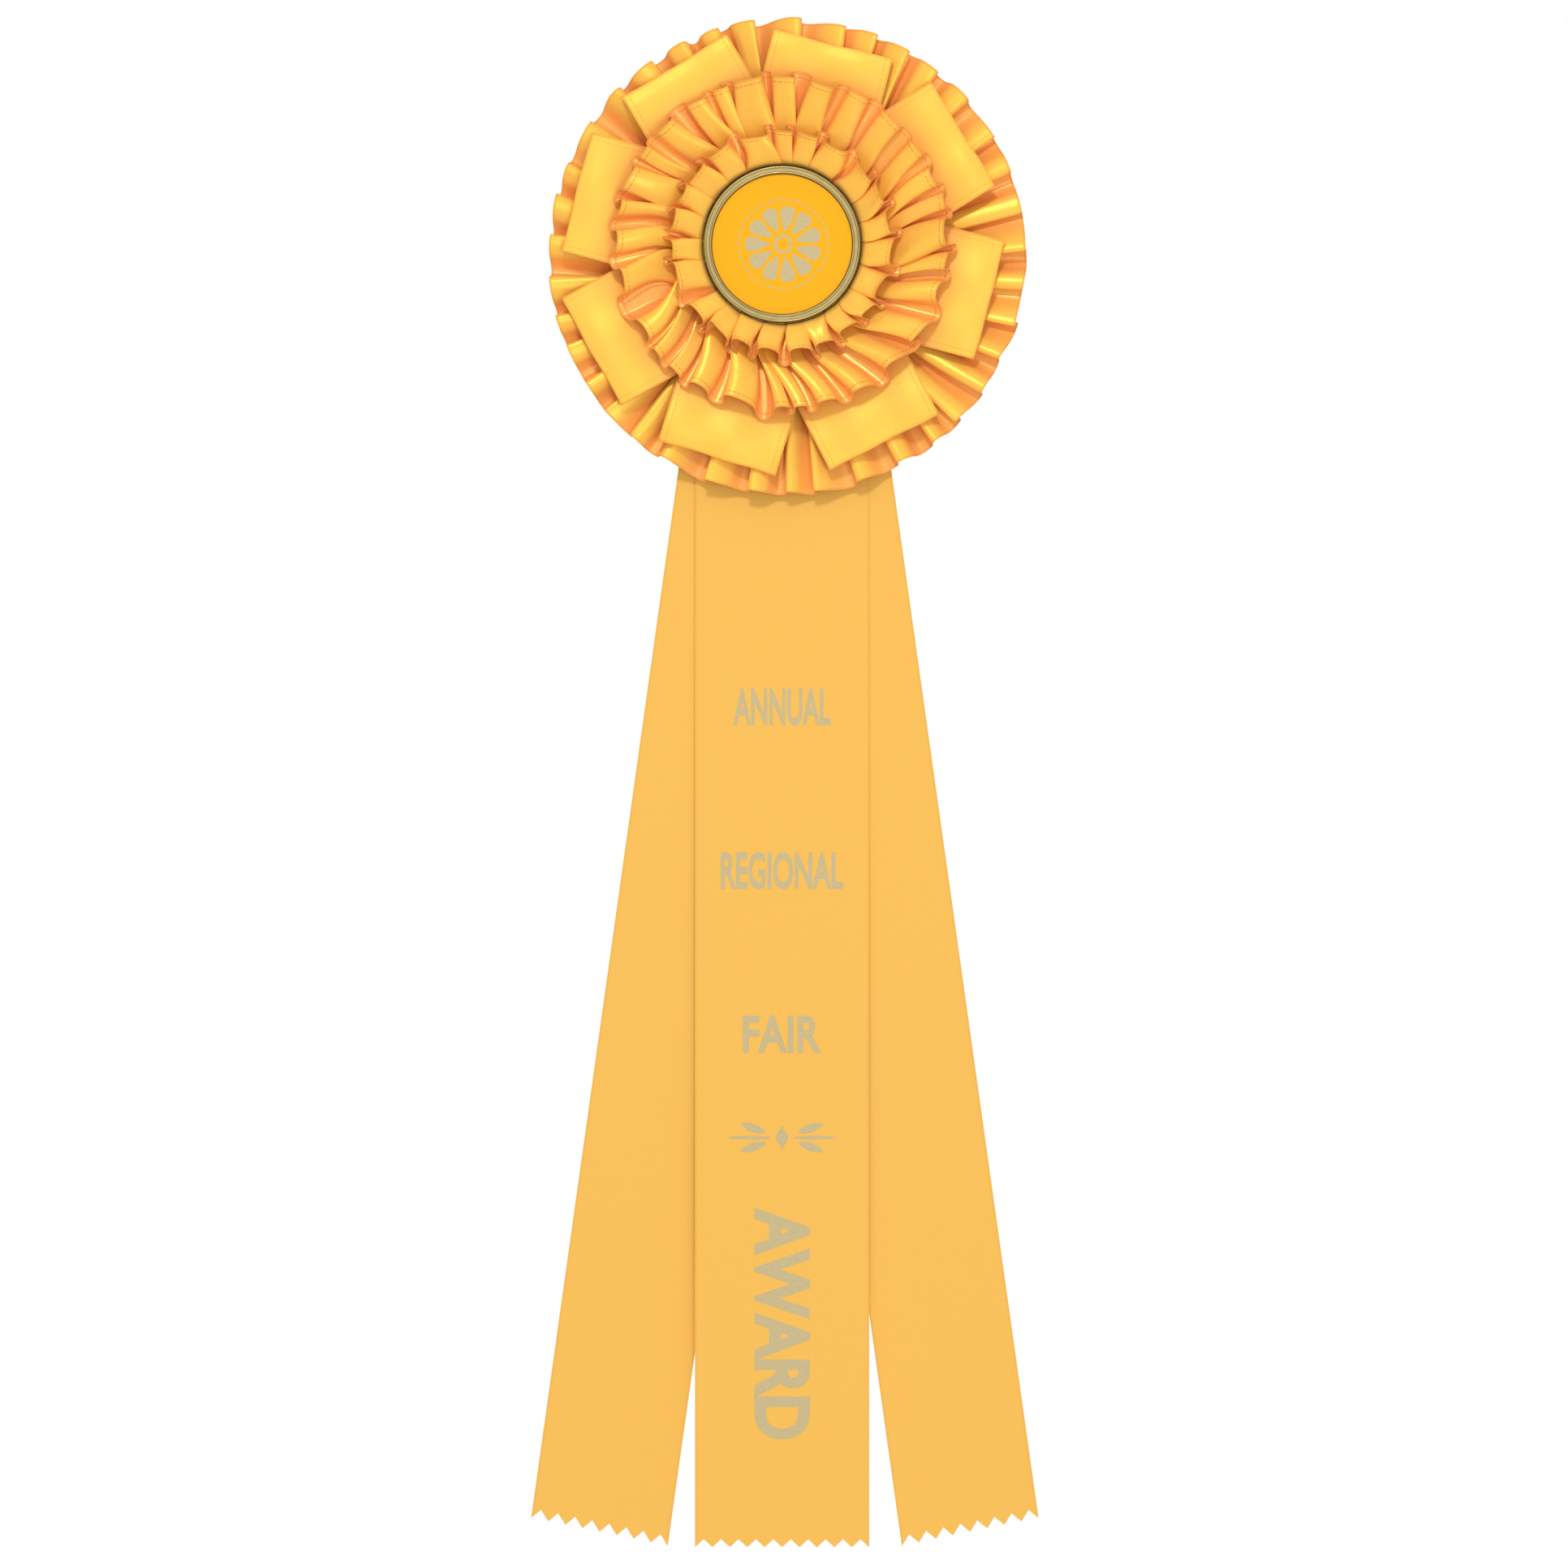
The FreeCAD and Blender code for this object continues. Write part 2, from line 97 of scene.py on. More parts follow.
def length(label, text, value, low=0.0, high=1.0):
    return bpy.props.FloatProperty(
        name=label, description=text, default=value, min=low, max=high, subtype="DISTANCE",
        unit="LENGTH", precision=5)


def angle(label, text, degrees):
    return bpy.props.FloatProperty(
        name=label, description=text, default=math.radians(degrees), min=-math.pi, max=math.pi,
        subtype="ANGLE", unit="ROTATION")


def share(label, text, value, low=0.0, high=4.0):
    return bpy.props.FloatProperty(
        name=label, description=text, default=value, min=low, max=high, subtype="FACTOR")


def count(label, text, value, low=0, high=400):
    return bpy.props.IntProperty(name=label, description=text, default=value, min=low, max=high)


def colour(label, text, value):
    return bpy.props.FloatVectorProperty(
        name=label, description=text, default=value, min=0.0, max=1.0, size=3, subtype="COLOR")


def ruffle_settings(title, pleats, outer, fullness, lean, breadth, press, uneven, depth, inset, push, wander,
                    seed):
    """A group of settings for one gathered ribbon."""
    fields = {
        "pleats": count("Pleats", "Number of folds round the ring", pleats, 3),
        "outer": length("Outer radius", "Largest radius of the free edge", outer),
        "fullness": share("Fullness", "Ribbon length over the free edge's circumference", fullness, 1.0),
        "lean": angle("Lean", "How far the folds lie over clockwise at the free edge", lean),
        "breadth": share("Breadth", "How much wider the ridges are than the valleys", breadth, 0.0, 0.9),
        "press": share("Press", "How flat the panels between the creases are pressed", press, 0.0, 4.0),
        "uneven": share("Unevenness", "Spread of the fold widths", uneven, 0.0, 1.0),
        "depth": length("Edge depth", "Valley to ridge at the free edge", depth),
        "inset": length("Ridge inset", "How far the ridges' ends stop short of the valleys'", inset, -0.01),
        "push": length("Push", "How far the ridges' ends are pushed over to the upper left", push),
        "wander": share("Wander", "How far the folds wander sideways along the ribbon's width", wander),
        "seed": count("Seed", "Choice of hand-made irregularity", seed),
    }
    return type(title, (bpy.types.PropertyGroup,), {"__annotations__": fields})


OuterRuffleSettings = ruffle_settings(
    "OuterRuffleSettings", 38, 87.0 * MM, 1.55, 30.0, 0.10, 0.5, 0.10, 6.4 * MM, -0.35 * MM, 1.65 * MM,
    0.35, 7)
MiddleRuffleSettings = ruffle_settings(
    "MiddleRuffleSettings", 30, 63.2 * MM, 1.85, 9.0, 0.36, 0.15, 0.26, 7.4 * MM, 4.2 * MM, 0.7 * MM,
    0.55, 12)
InnerRuffleSettings = ruffle_settings(
    "InnerRuffleSettings", 23, 43.9 * MM, 2.1, 15.0, 0.62, 0.15, 0.12, 7.2 * MM, 4.9 * MM, 0.95 * MM,
    0.25, 5)


class RibbonSettings(bpy.types.PropertyGroup):
    """Sizes shared by the ribbons."""

    cloth: length("Cloth", "Thickness of the satin", 0.28 * MM)
    stitch_inset: length("Stitch inset", "Edge of the ribbon to its woven stitch line", 2.3 * MM)
    loop_width: length("Loop width", "Width of the loops' ribbon", 44.45 * MM)
    loop_reach: length("Loop reach", "Radius of the loops' outer folds", 77.2 * MM)
    loop_fold: length("Loop fold", "Radius of the rolled fold", 1.3 * MM)
    tooth: length("Tooth pitch", "Pitch of the pinked ends", 6.35 * MM)


class FinishSettings(bpy.types.PropertyGroup):
    """Colours of the finishes, in linear light."""

    # The lit colour and the one below are a lit and a shaded copy of the same satin; the mesh's fold
    # attribute mixes them as painted shade.
    lit: colour("Lit satin", "Satin on the ridges", (0.965, 0.52, 0.078))
    # Painted shade colour for the valleys of the folds and for slopes.
    painted_fold_shade: colour("Folded satin", "Satin deep in the folds", (0.93, 0.392, 0.112))
    streamer: colour("Streamer satin", "The flat streamers", (0.80, 0.445, 0.090))
    face: colour("Button satin", "The printed button face", (0.93, 0.40, 0.004))
    foil: colour("Foil", "The pressed foil", (0.50, 0.405, 0.205))


# ------------------------------------------------------------------ meshes


def sheet_mesh(name, points, along, across, thickness, ring=False, fold=None):
    """A closed cloth shell round a grid of points.

    The grid's normal is the cross product of its two directions. The front is the grid moved half a
    thickness along it, the back the same the other way, and quads close every free edge. ring joins the
    last column to the first. along and across are the UVs, one more column than the grid in a ring.
    """
    m, n = points.shape[:2]
    if ring:
        wrapped = np.concatenate([points[-1:], points, points[:1]])
        du = (wrapped[2:] - wrapped[:-2]) / 2
    else:
        du = np.gradient(points, axis=0)
    normal = np.cross(du, np.gradient(points, axis=1))
    normal /= np.maximum(np.linalg.norm(normal, axis=2, keepdims=True), 1e-12)
    verts = np.concatenate([points + normal * thickness / 2, points - normal * thickness / 2])
    verts = verts.reshape(-1, 3)
    last = m if ring else m - 1
    i, j = np.meshgrid(np.arange(last), np.arange(n - 1), indexing="ij")
    corners = [(i, j), (i + 1, j), (i + 1, j + 1), (i, j + 1)]
    quads, marks = [], []

    def add(cells):
        quads.append(np.stack([(side * m + a % m) * n + b for side, a, b in cells], -1).reshape(-1, 4))
        marks.append(np.stack([np.stack([along[a, b], across[a, b]], -1) for _, a, b in cells],
                              -2).reshape(-1, 4, 2))

    add([(0, a, b) for a, b in corners])
    add([(1, a, b) for a, b in reversed(corners)])
    u, zero = np.arange(last), np.zeros(last, int)
    for b in (zero, zero + n - 1):
        add([(0, u, b), (1, u, b), (1, u + 1, b), (0, u + 1, b)])
    if not ring:
        v, zero = np.arange(n - 1), np.zeros(n - 1, int)
        for a in (zero, zero + m - 1):
            add([(0, a, v), (0, a, v + 1), (1, a, v + 1), (1, a, v)])
    mesh = bpy.data.meshes.new(name)
    mesh.from_pydata(verts, [], np.concatenate(quads).tolist())
    layer = mesh.uv_layers.new(name="cloth")
    layer.data.foreach_set("uv", np.concatenate(marks).reshape(-1).astype(np.float32))
    # The fold attribute is a painted shade mask: 1 on ridges and wherever no mask is given, lower in the
    # valleys and on slopes turned away from the Y axis.
    attribute = mesh.attributes.new("fold", "FLOAT", "POINT")
    ridge = np.ones((m, n)) if fold is None else fold ** 0.7 * (0.35 + 0.65 * np.abs(normal[:, :, 1]))
    attribute.data.foreach_set("value", np.concatenate([ridge, ridge]).reshape(-1).astype(np.float32))
    outward(mesh)
    mesh.set_sharp_from_angle(angle=math.radians(58))
    return mesh


def outward(mesh):
    """Turns every face outwards and shades it smooth."""
    shape = bmesh.new()
    shape.from_mesh(mesh)
    bmesh.ops.recalc_face_normals(shape, faces=shape.faces)
    for face in shape.faces:
        face.smooth = True
    shape.to_mesh(mesh)
    shape.free()


def plate_mesh(name, outlines, y_back, y_front):
    """Flat prints: closed convex outlines in the XZ plane, each extruded from y_back to y_front."""
    verts, faces = [], []
    for outline in outlines:
        k, start = len(outline), len(verts)
        verts += [(x, y_back, z) for x, z in outline] + [(x, y_front, z) for x, z in outline]
        faces.append(list(range(start, start + k)))
        faces.append(list(range(start + 2 * k - 1, start + k - 1, -1)))
        faces += [[start + a, start + (a + 1) % k, start + k + (a + 1) % k, start + k + a]
                  for a in range(k)]
    mesh = bpy.data.meshes.new(name)
    mesh.from_pydata(verts, [], faces)
    shape = bmesh.new()
    shape.from_mesh(mesh)
    bmesh.ops.recalc_face_normals(shape, faces=shape.faces)
    shape.to_mesh(mesh)
    shape.free()
    return mesh


def place(name, mesh, body, finish, replaced=()):
    """Adds a finished mesh as a piece that rides on a body."""
    old = bpy.data.objects.get(name)
    if old:
        bpy.data.objects.remove(old)
    piece = bpy.data.objects.new(name, mesh)
    bpy.context.scene.collection.objects.link(piece)
    piece.data.materials.append(finish)
    if body:
        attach(piece, body)
    if replaced:
        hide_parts(*replaced)
    return piece


def smooth_noise(turn, seed, lowest, highest):
    """A seeded sum of cosines with lowest to highest whole waves over the turn, scaled to a spread of one."""
    rng = np.random.default_rng(seed)
    waves = np.arange(lowest, highest + 1)
    size = rng.normal(size=waves.size)
    phase = rng.uniform(0, 2 * np.pi, waves.size)
    total = (size * np.cos(2 * np.pi * np.multiply.outer(turn, waves) + phase)).sum(-1)
    return total / total.std()


def ease(x):
    """0 below 0, 1 above 1, and a smooth cubic step between them."""
    x = np.clip(x, 0.0, 1.0)
    return x * x * (3 - 2 * x)


# ------------------------------------------------------------------ gathered ruffles


UPPER_LEFT = math.radians(-25)


def gathered(settings, inner, sewn, back_y, sewn_depth, edge_level, centre, curl, swell, spring,
             shown=40, rows=30):
    """The middle surface of a ribbon gathered into a ring.

    Across the folds the ribbon follows a meander: its slope swings as a sine of the length along it, with
    the phase slowed on the ridges (breadth) and the sine squared off (press). A third harmonic of varied
    size doubles some ridges. The size of the swing at each radius is the one that fits the ribbon's whole
    length into that circle. The folds are then laid over by the lean, and their heights are scaled from
    valley to ridge to the ring's own depth, so the finished surface holds less cloth than the flat ribbon,
    most of all near the sewn circle. A ridge climbs more than a valley, so it ends at a smaller radius
    (inset), and all ridges are pushed a little towards the upper left.
    """
    columns = settings.pleats * shown
    turn = np.arange(columns)[:, None] / columns
    outer = settings.outer
    split = (sewn - inner) / (outer - inner)
    v = np.concatenate([np.linspace(0, split, 6)[:-1], np.linspace(split, 1, rows - 5)])[None, :]
    radius = inner + (outer - inner) * v
    free = np.clip((radius - sewn) / (outer - sewn), 0, 1)
    side = np.cos(2 * np.pi * turn - UPPER_LEFT)

    def hand(number, lowest, highest):
        return smooth_noise(turn[:, 0], settings.seed + number, lowest, highest)[:, None]

    pace = np.clip(settings.uneven * hand(0, 2, settings.pleats // 2), -0.5, 0.8)
    pace -= pace.mean()
    phase = 2 * np.pi * settings.pleats * (turn + np.cumsum(pace, 0) / columns)
    phase = phase + settings.wander * (hand(5, 9, settings.pleats) * (1 - free) ** 1.5
                                       + 0.6 * hand(6, 9, settings.pleats) * np.sin(np.pi * free))
    broad = settings.breadth + swell * side
    swing = -np.sin(phase - broad * np.sin(phase))
    swing = np.tanh(settings.press * swing) / math.tanh(settings.press)
    doubled = np.clip(0.16 + 0.16 * hand(7, 4, settings.pleats), 0, 0.42)
    swing = swing + doubled * (0.5 + 0.7 * (1 - free)) * np.sin(3 * phase + 0.8)
    tries = np.linspace(0.0, 2.15, 90)
    kept = np.cos(np.multiply.outer(tries, swing[:, -1])).mean(1)

    wanted = radius / (outer * settings.fullness)
    size = np.interp(-wanted, -kept, tries) * (1 + 0.10 * hand(1, 3, settings.pleats))
    slope = np.clip(size, 0, 2.1) * swing
    step = 2 * np.pi * outer * settings.fullness / columns
    x = np.cumsum(np.cos(slope), 0) * step
    x *= 2 * np.pi * radius / x[-1]
    h = np.cumsum(np.sin(slope), 0) * step
    h -= h[-1] * (turn + 1 / columns)
    spectrum = np.fft.rfft(h, axis=0)
    spectrum[: settings.pleats // 3] = 0
    h = np.fft.irfft(spectrum, columns, axis=0)

    lean = settings.lean + (math.radians(47) - settings.lean) * (1 - free) ** 2
    lean = lean + 0.18 * free * hand(2, 2, settings.pleats // 2)
    theta = (x + h * np.sin(lean)) / radius
    height = h * np.cos(lean)
    low, high = np.percentile(height, [3, 97], axis=0)
    rise = free ** spring
    depth = sewn_depth + (settings.depth - sewn_depth) * rise
    ridge = np.clip((height - low) / (high - low), -0.12, 1.2)
    level = ridge * depth * (1 + 0.14 * free * hand(3, 2, 24))
    level = level + rise * (edge_level + 0.4 * MM * hand(4, 1, 5)) + curl * free ** 3 * (0.3 + 0.7 * ridge)

    gap = settings.push * side - settings.inset
    r = radius + free ** 1.4 * ((ridge - 0.5) * gap - np.abs(gap) / 2 + 0.25 * MM * hand(8, 3, 30))
    points = np.stack([centre.x + r * np.sin(theta), back_y - level, centre.z + r * np.cos(theta)], -1)
    width = outer - inner + 0.5 * max(settings.inset, 0)
    along = np.repeat(np.arange(columns + 1)[:, None] * step, rows, 1) / MM
    across = np.repeat(v * width, columns + 1, 0) / MM
    # The clipped ridge height also goes out as the mask of the painted fold shade, low in the valleys.
    return points, along, across, np.clip(ridge, 0, 1), columns * step, width


def make_ruffle(name, settings, inner, sewn, back_y, sewn_depth, edge_level, centre, curl, swell, spring,
                finish, node):
    """One gathered ribbon, built as a closed cloth shell and standing for its CAD node."""
    cloth = bpy.context.scene.rosette_ribbon.cloth
    points, along, across, fold, ribbon, width = gathered(
        settings, inner, sewn, back_y, sewn_depth, edge_level, centre, curl, swell, spring)
    # fold is the painted fold shade mask.
    mesh = sheet_mesh(name, points, along, across, cloth, ring=True, fold=fold)
    piece = place(name, mesh, "rosette", finish, [node])
    return piece


# ------------------------------------------------------------------ shader arithmetic


class Wire:
    """A shader socket that numbers and other sockets can be added to, multiplied with and so on."""

    def __init__(self, recipe, socket):
        self.recipe = recipe
        self.socket = socket

    def maths(self, operation, *values):
        return self.recipe.node("ShaderNodeMath", {"operation": operation}, dict(enumerate(values)))

    def __add__(self, other):
        return self.maths("ADD", self, other)

    def __radd__(self, other):
        return self.maths("ADD", other, self)

    def __sub__(self, other):
        return self.maths("SUBTRACT", self, other)

    def __rsub__(self, other):
        return self.maths("SUBTRACT", other, self)

    def __mul__(self, other):
        return self.maths("MULTIPLY", self, other)

    def __rmul__(self, other):
        return self.maths("MULTIPLY", other, self)

    def __truediv__(self, other):
        return self.maths("DIVIDE", self, other)

    def __mod__(self, other):
        return self.maths("FLOORED_MODULO", self, other)

    def __gt__(self, other):
        return self.maths("GREATER_THAN", self, other)

    def __abs__(self):
        return self.maths("ABSOLUTE", self)

    def __pow__(self, other):
        return self.maths("POWER", self, other)

    def sine(self):
        return self.maths("SINE", self)

    def smooth(self, start, end):
        """0 at start and 1 at end, eased."""
        return self.recipe.node("ShaderNodeMapRange", {"interpolation_type": "SMOOTHSTEP", "clamp": True},
                                {"Value": self, "From Min": start, "From Max": end})


class Recipe:
    """A material whose nodes are added one by one."""

    def __init__(self, name):
        old = bpy.data.materials.get(name)
        if old:
            bpy.data.materials.remove(old)
        self.material = bpy.data.materials.new(name)
        self.material.use_nodes = True
        self.tree = self.material.node_tree
        self.shader = self.tree.nodes["Principled BSDF"]

    def node(self, kind, settings=None, values=None, out=0):
        """Adds a node, sets its settings, then its inputs from numbers, colours or wires."""
        made = self.tree.nodes.new(kind)
        for key, value in (settings or {}).items():
            setattr(made, key, value)
        for key, value in (values or {}).items():
            self.feed(made.inputs[key], value)
        return Wire(self, made.outputs[out])

    def feed(self, socket, value):
        if isinstance(value, Wire):
            self.tree.links.new(value.socket, socket)
        elif hasattr(value, "__len__") and len(value) == 3 and socket.type == "RGBA":
            socket.default_value = (*value, 1.0)
        else:
            socket.default_value = value

    def set(self, **values):
        """Sets the main shader's sockets. An underscore in a name stands for a space."""
        for key, value in values.items():
            self.feed(self.shader.inputs[key.replace("_", " ")], value)
        return self.material

    def cloth(self):
        """The ribbon's own coordinates: millimetres along it and across it."""
        uv = self.node("ShaderNodeUVMap", {"uv_map": "cloth"})
        parts = self.node("ShaderNodeSeparateXYZ", values={0: uv})
        return uv, parts, Wire(self, parts.socket.node.outputs[1])

    def position(self):
        return self.node("ShaderNodeTexCoord", out=3)

    def noise(self, vector, scale, detail=3.0, rough=0.5):
        return self.node("ShaderNodeTexNoise", values={
            "Vector": vector, "Scale": scale, "Detail": detail, "Roughness": rough})

    def stretch(self, vector, size):
        return self.node("ShaderNodeMapping", values={"Vector": vector, "Scale": size})

    def mix(self, share, first, second):
        return self.node("ShaderNodeMix", {"data_type": "RGBA"},
                         {"Factor": share, 6: first, 7: second}, out=2)

    def bump(self, height, distance, strength=1.0):
        return self.node("ShaderNodeBump", values={
            "Height": height, "Distance": distance, "Strength": strength})


def satin(name, lit, painted_fold_shade, width, stitched, sheen, roughness, shade=1.0, picot=0.0, streaks=1.0):
    """Warp-faced satin: a fine slanting weave, soft streaks along the ribbon, a woven edge band and its
    stitch line, and painted shade. The fold attribute mixes the lit colour towards the painted fold shade
    colour in the valleys and on slopes. The edge band is darkened partly as the woven edge's own colour and
    partly as a painted shadow line along the edges."""
    made = Recipe(name)
    uv, along, across = made.cloth()
    inset = bpy.context.scene.rosette_ribbon.stitch_inset / MM
    # Painted shade: the fold attribute sets how far the colour goes from lit towards the painted fold shade
    # colour.
    fold = made.node("ShaderNodeAttribute", {"attribute_name": "fold"}, out=2)
    cloud = made.noise(uv, 0.09, 2.0)
    streak = made.noise(made.stretch(uv, (0.12, 1.6, 1.0)), 1.0, 3.0)
    twill = (along * 6.4 + across * 4.4).sine() * 0.5 + 0.5
    warp = (across * 11.0).sine() * 0.5 + 0.5
    edge = made.node("ShaderNodeMath", {"operation": "MINIMUM"}, {0: across, 1: width / MM - across})
    selvage_and_edge_shadow = 1 - edge.smooth(0.55, 0.85)
    thread = (along * 7.4).sine() * 0.5 + 0.5
    line = (1 - abs(edge - inset).smooth(0.18, 0.45)) * stitched
    dash = ((along % 1.9) > 0.55) * 1.0
    stitch = line * dash
    depth = fold + (cloud - 0.5) * 0.35
    tone = made.mix(depth.smooth(0.05, 0.95), painted_fold_shade, lit)
    warm = made.mix((streak - 0.5).smooth(-0.35, 0.35) * (0.22 * streaks), tone, (0.99, 0.62, 0.10))
    # The edge band's darker colour is partly the woven edge's own and partly a painted shadow line along the
    # edges; the stitch line darkens as real thread.
    dark = made.mix(selvage_and_edge_shadow * streaks * (0.20 + 0.30 * thread) + stitch * 0.60, warm, (0.80, 0.24, 0.05))
    relief = twill * 0.10 + warp * 0.05 + streak * (0.3 * streaks) + selvage_and_edge_shadow * thread * 2.2 - stitch * 2.4
    relief = relief + line * 0.8 + selvage_and_edge_shadow * picot * thread
    rough = roughness + (streak - 0.5) * (0.14 * streaks) + selvage_and_edge_shadow * 0.18 + (twill - 0.5) * 0.05
    return made.set(Base_Color=dark, Roughness=rough, Metallic=0.20 * shade, Sheen_Weight=sheen,
                    Sheen_Roughness=0.45, Sheen_Tint=(1.0, 0.80, 0.30, 1.0), IOR=1.45,
                    Specular_Tint=(1.0, 0.68, 0.16, 1.0),
                    Normal=made.bump(relief, 0.06 * MM, 0.8))


def foil(name, tint):
    """Foil pressed into a woven ribbon: a broken fine basket grain over a dull gold."""
    made = Recipe(name)
    spot = made.stretch(made.position(), PER_MM)
    parts = made.node("ShaderNodeSeparateXYZ", values={0: spot})
    z = Wire(made, parts.socket.node.outputs[2])
    basket = (parts * 8.4).sine() * (z * 8.4).sine() * 0.5 + 0.5
    grain = made.noise(spot, 1.35, 4.0, 0.65)
    worn = (basket * 0.7 + grain * 0.5).smooth(0.25, 0.95)
    pale = made.mix(worn, tuple(0.76 * c for c in tint), tuple(1.24 * c for c in tint))
    return made.set(Base_Color=pale, Metallic=0.15, Roughness=0.45 + worn * 0.2,
                    Normal=made.bump(basket + grain, 0.03 * MM))


def button_satin(name, tint):
    """Printed satin drawn tight over the button's board."""
    made = Recipe(name)
    spot = made.stretch(made.position(), PER_MM)
    grain = made.noise(spot, 0.5, 3.0)
    parts = made.node("ShaderNodeSeparateXYZ", values={0: spot})
    rib = (Wire(made, parts.socket.node.outputs[2]) * 12.0).sine() * 0.5 + 0.5
    tone = made.mix(grain.smooth(0.3, 0.7) * 0.15, tint, (0.95, 0.42, 0.006))
    return made.set(Base_Color=tone, Roughness=0.52 + grain * 0.1, Specular_IOR_Level=0.15,
                    Normal=made.bump(rib * 0.4 + grain, 0.02 * MM))


def antique_brass(name):
    """Lacquered brass with fine turning marks and random stains, and painted shade: near-black thin rings at
    the inner lip by the face and at the outer edge.
    """
    made = Recipe(name)
    spot = made.position()
    local = made.node("ShaderNodeVectorMath", {"operation": "SUBTRACT"}, {0: spot, 1: HEART})
    parts = made.node("ShaderNodeSeparateXYZ", values={0: local})
    z = Wire(made, parts.socket.node.outputs[2])
    radius = (parts * parts + z * z) ** 0.5 / MM
    turning = made.noise(made.node("ShaderNodeCombineXYZ", values={0: radius * 9.0}), 1.0, 3.0)
    stain = made.noise(made.stretch(local, (260, 260, 260)), 1.0, 4.0, 0.6)
    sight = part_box("button_face")[1].x / MM - 2.6
    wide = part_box("button_rim")[1].x / MM
    # Painted shade: a near-black thin ring at the inner lip, where the rim meets the face, and another at the
    # outer edge; both also roughen the surface.
    painted_lip_shade = 1 - abs(radius - sight).smooth(0.0, 0.55)
    outer = (radius - (wide - 0.35)).smooth(0.0, 0.3)
    painted_edge_shade = made.node("ShaderNodeMath", {"operation": "MAXIMUM"}, {0: painted_lip_shade, 1: outer})
    base = made.mix(stain.smooth(0.35, 0.7), (0.36, 0.275, 0.105), (0.40, 0.31, 0.12))
    tone = made.mix(painted_edge_shade, base, (0.05, 0.03, 0.012))
    return made.set(Base_Color=tone, Metallic=0.92, Roughness=0.38 + stain * 0.10 + painted_edge_shade * 0.20,
                    Coat_Weight=0.15, Normal=made.bump(turning, 0.0015 * MM))


def board(name, tint, rough=0.85):
    """Pressed board with felted fibres."""
    made = Recipe(name)
    spot = made.stretch(made.position(), PER_MM)
    fibre = made.noise(made.stretch(spot, (0.35, 1.0, 1.2)), 1.0, 5.0, 0.7)
    fleck = made.noise(spot, 2.2, 2.0)
    tone = made.mix(fibre.smooth(0.35, 0.7), tint, tuple(0.78 * c for c in tint))
    tone = made.mix(fleck.smooth(0.66, 0.72) * 0.5, tone, (0.30, 0.22, 0.14))
    return made.set(Base_Color=tone, Roughness=rough, Normal=made.bump(fibre, 0.05 * MM))


def metal(name, tint, rough, along):
    """Plated or drawn metal with fine marks along one direction and a few dull spots."""
    made = Recipe(name)
    spot = made.stretch(made.position(), along)
    marks = made.noise(spot, 1.0, 4.0, 0.6)
    dull = made.noise(made.stretch(made.position(), (420, 420, 420)), 1.0, 3.0)
    tone = made.mix(dull.smooth(0.5, 0.8) * 0.5, tint, tuple(0.6 * c for c in tint))
    return made.set(Base_Color=tone, Metallic=0.95, Roughness=rough + marks * 0.15 + dull * 0.1,
                    Normal=made.bump(marks, 0.01 * MM))


def thread(name, tint):
    """Twisted sewing thread."""
    made = Recipe(name)
    spot = made.stretch(made.position(), PER_MM)
    parts = made.node("ShaderNodeSeparateXYZ", values={0: spot})
    ply = ((parts + Wire(made, parts.socket.node.outputs[2])) * 14.0).sine() * 0.5 + 0.5
    tone = made.mix(ply, tuple(0.7 * c for c in tint), tint)
    return made.set(Base_Color=tone, Roughness=0.6, Normal=made.bump(ply, 0.05 * MM))


def hot_glue(name, tint):
    """Set hot glue: cloudy, waxy and slightly uneven."""
    made = Recipe(name)
    cloud = made.noise(made.stretch(made.position(), (300, 300, 300)), 1.0, 3.0)
    tone = made.mix(cloud.smooth(0.3, 0.7), tint, (0.95, 0.88, 0.66))
    return made.set(Base_Color=tone, Roughness=0.25 + cloud * 0.2, Coat_Weight=0.3,
                    Normal=made.bump(cloud, 0.2 * MM))


def plain_stage(name, tint):
    """Matt paint with a faint roller grain."""
    made = Recipe(name)
    grain = made.noise(made.position(), 90.0, 4.0)
    tone = made.mix(grain.smooth(0.3, 0.7) * 0.2, tint, tuple(0.97 * c for c in tint))
    return made.set(Base_Color=tone, Roughness=0.9, Normal=made.bump(grain, 0.1 * MM, 0.3))


# ------------------------------------------------------------------ operators


class ROSETTE_OT_camera(bpy.types.Operator):
    """Set the camera square to the button, at the height of the whole ribbon's middle"""

    bl_idname = "rosette.camera"
    bl_label = "Camera"

    def execute(self, context):
        data = bpy.data.cameras.new("camera")
        camera = bpy.data.objects.new("camera", data)
        context.scene.collection.objects.link(camera)
        data.sensor_width = 36.0
        data.lens = 200.0
        field, aim_x, aim_y, aim_z = 0.5706, 0.0007, -0.012, -0.1920
        camera.location = (aim_x, aim_y - field * data.lens / data.sensor_width, aim_z)
        camera.rotation_euler = (math.pi / 2, 0, 0)
        context.scene.camera = camera
        return {"FINISHED"}


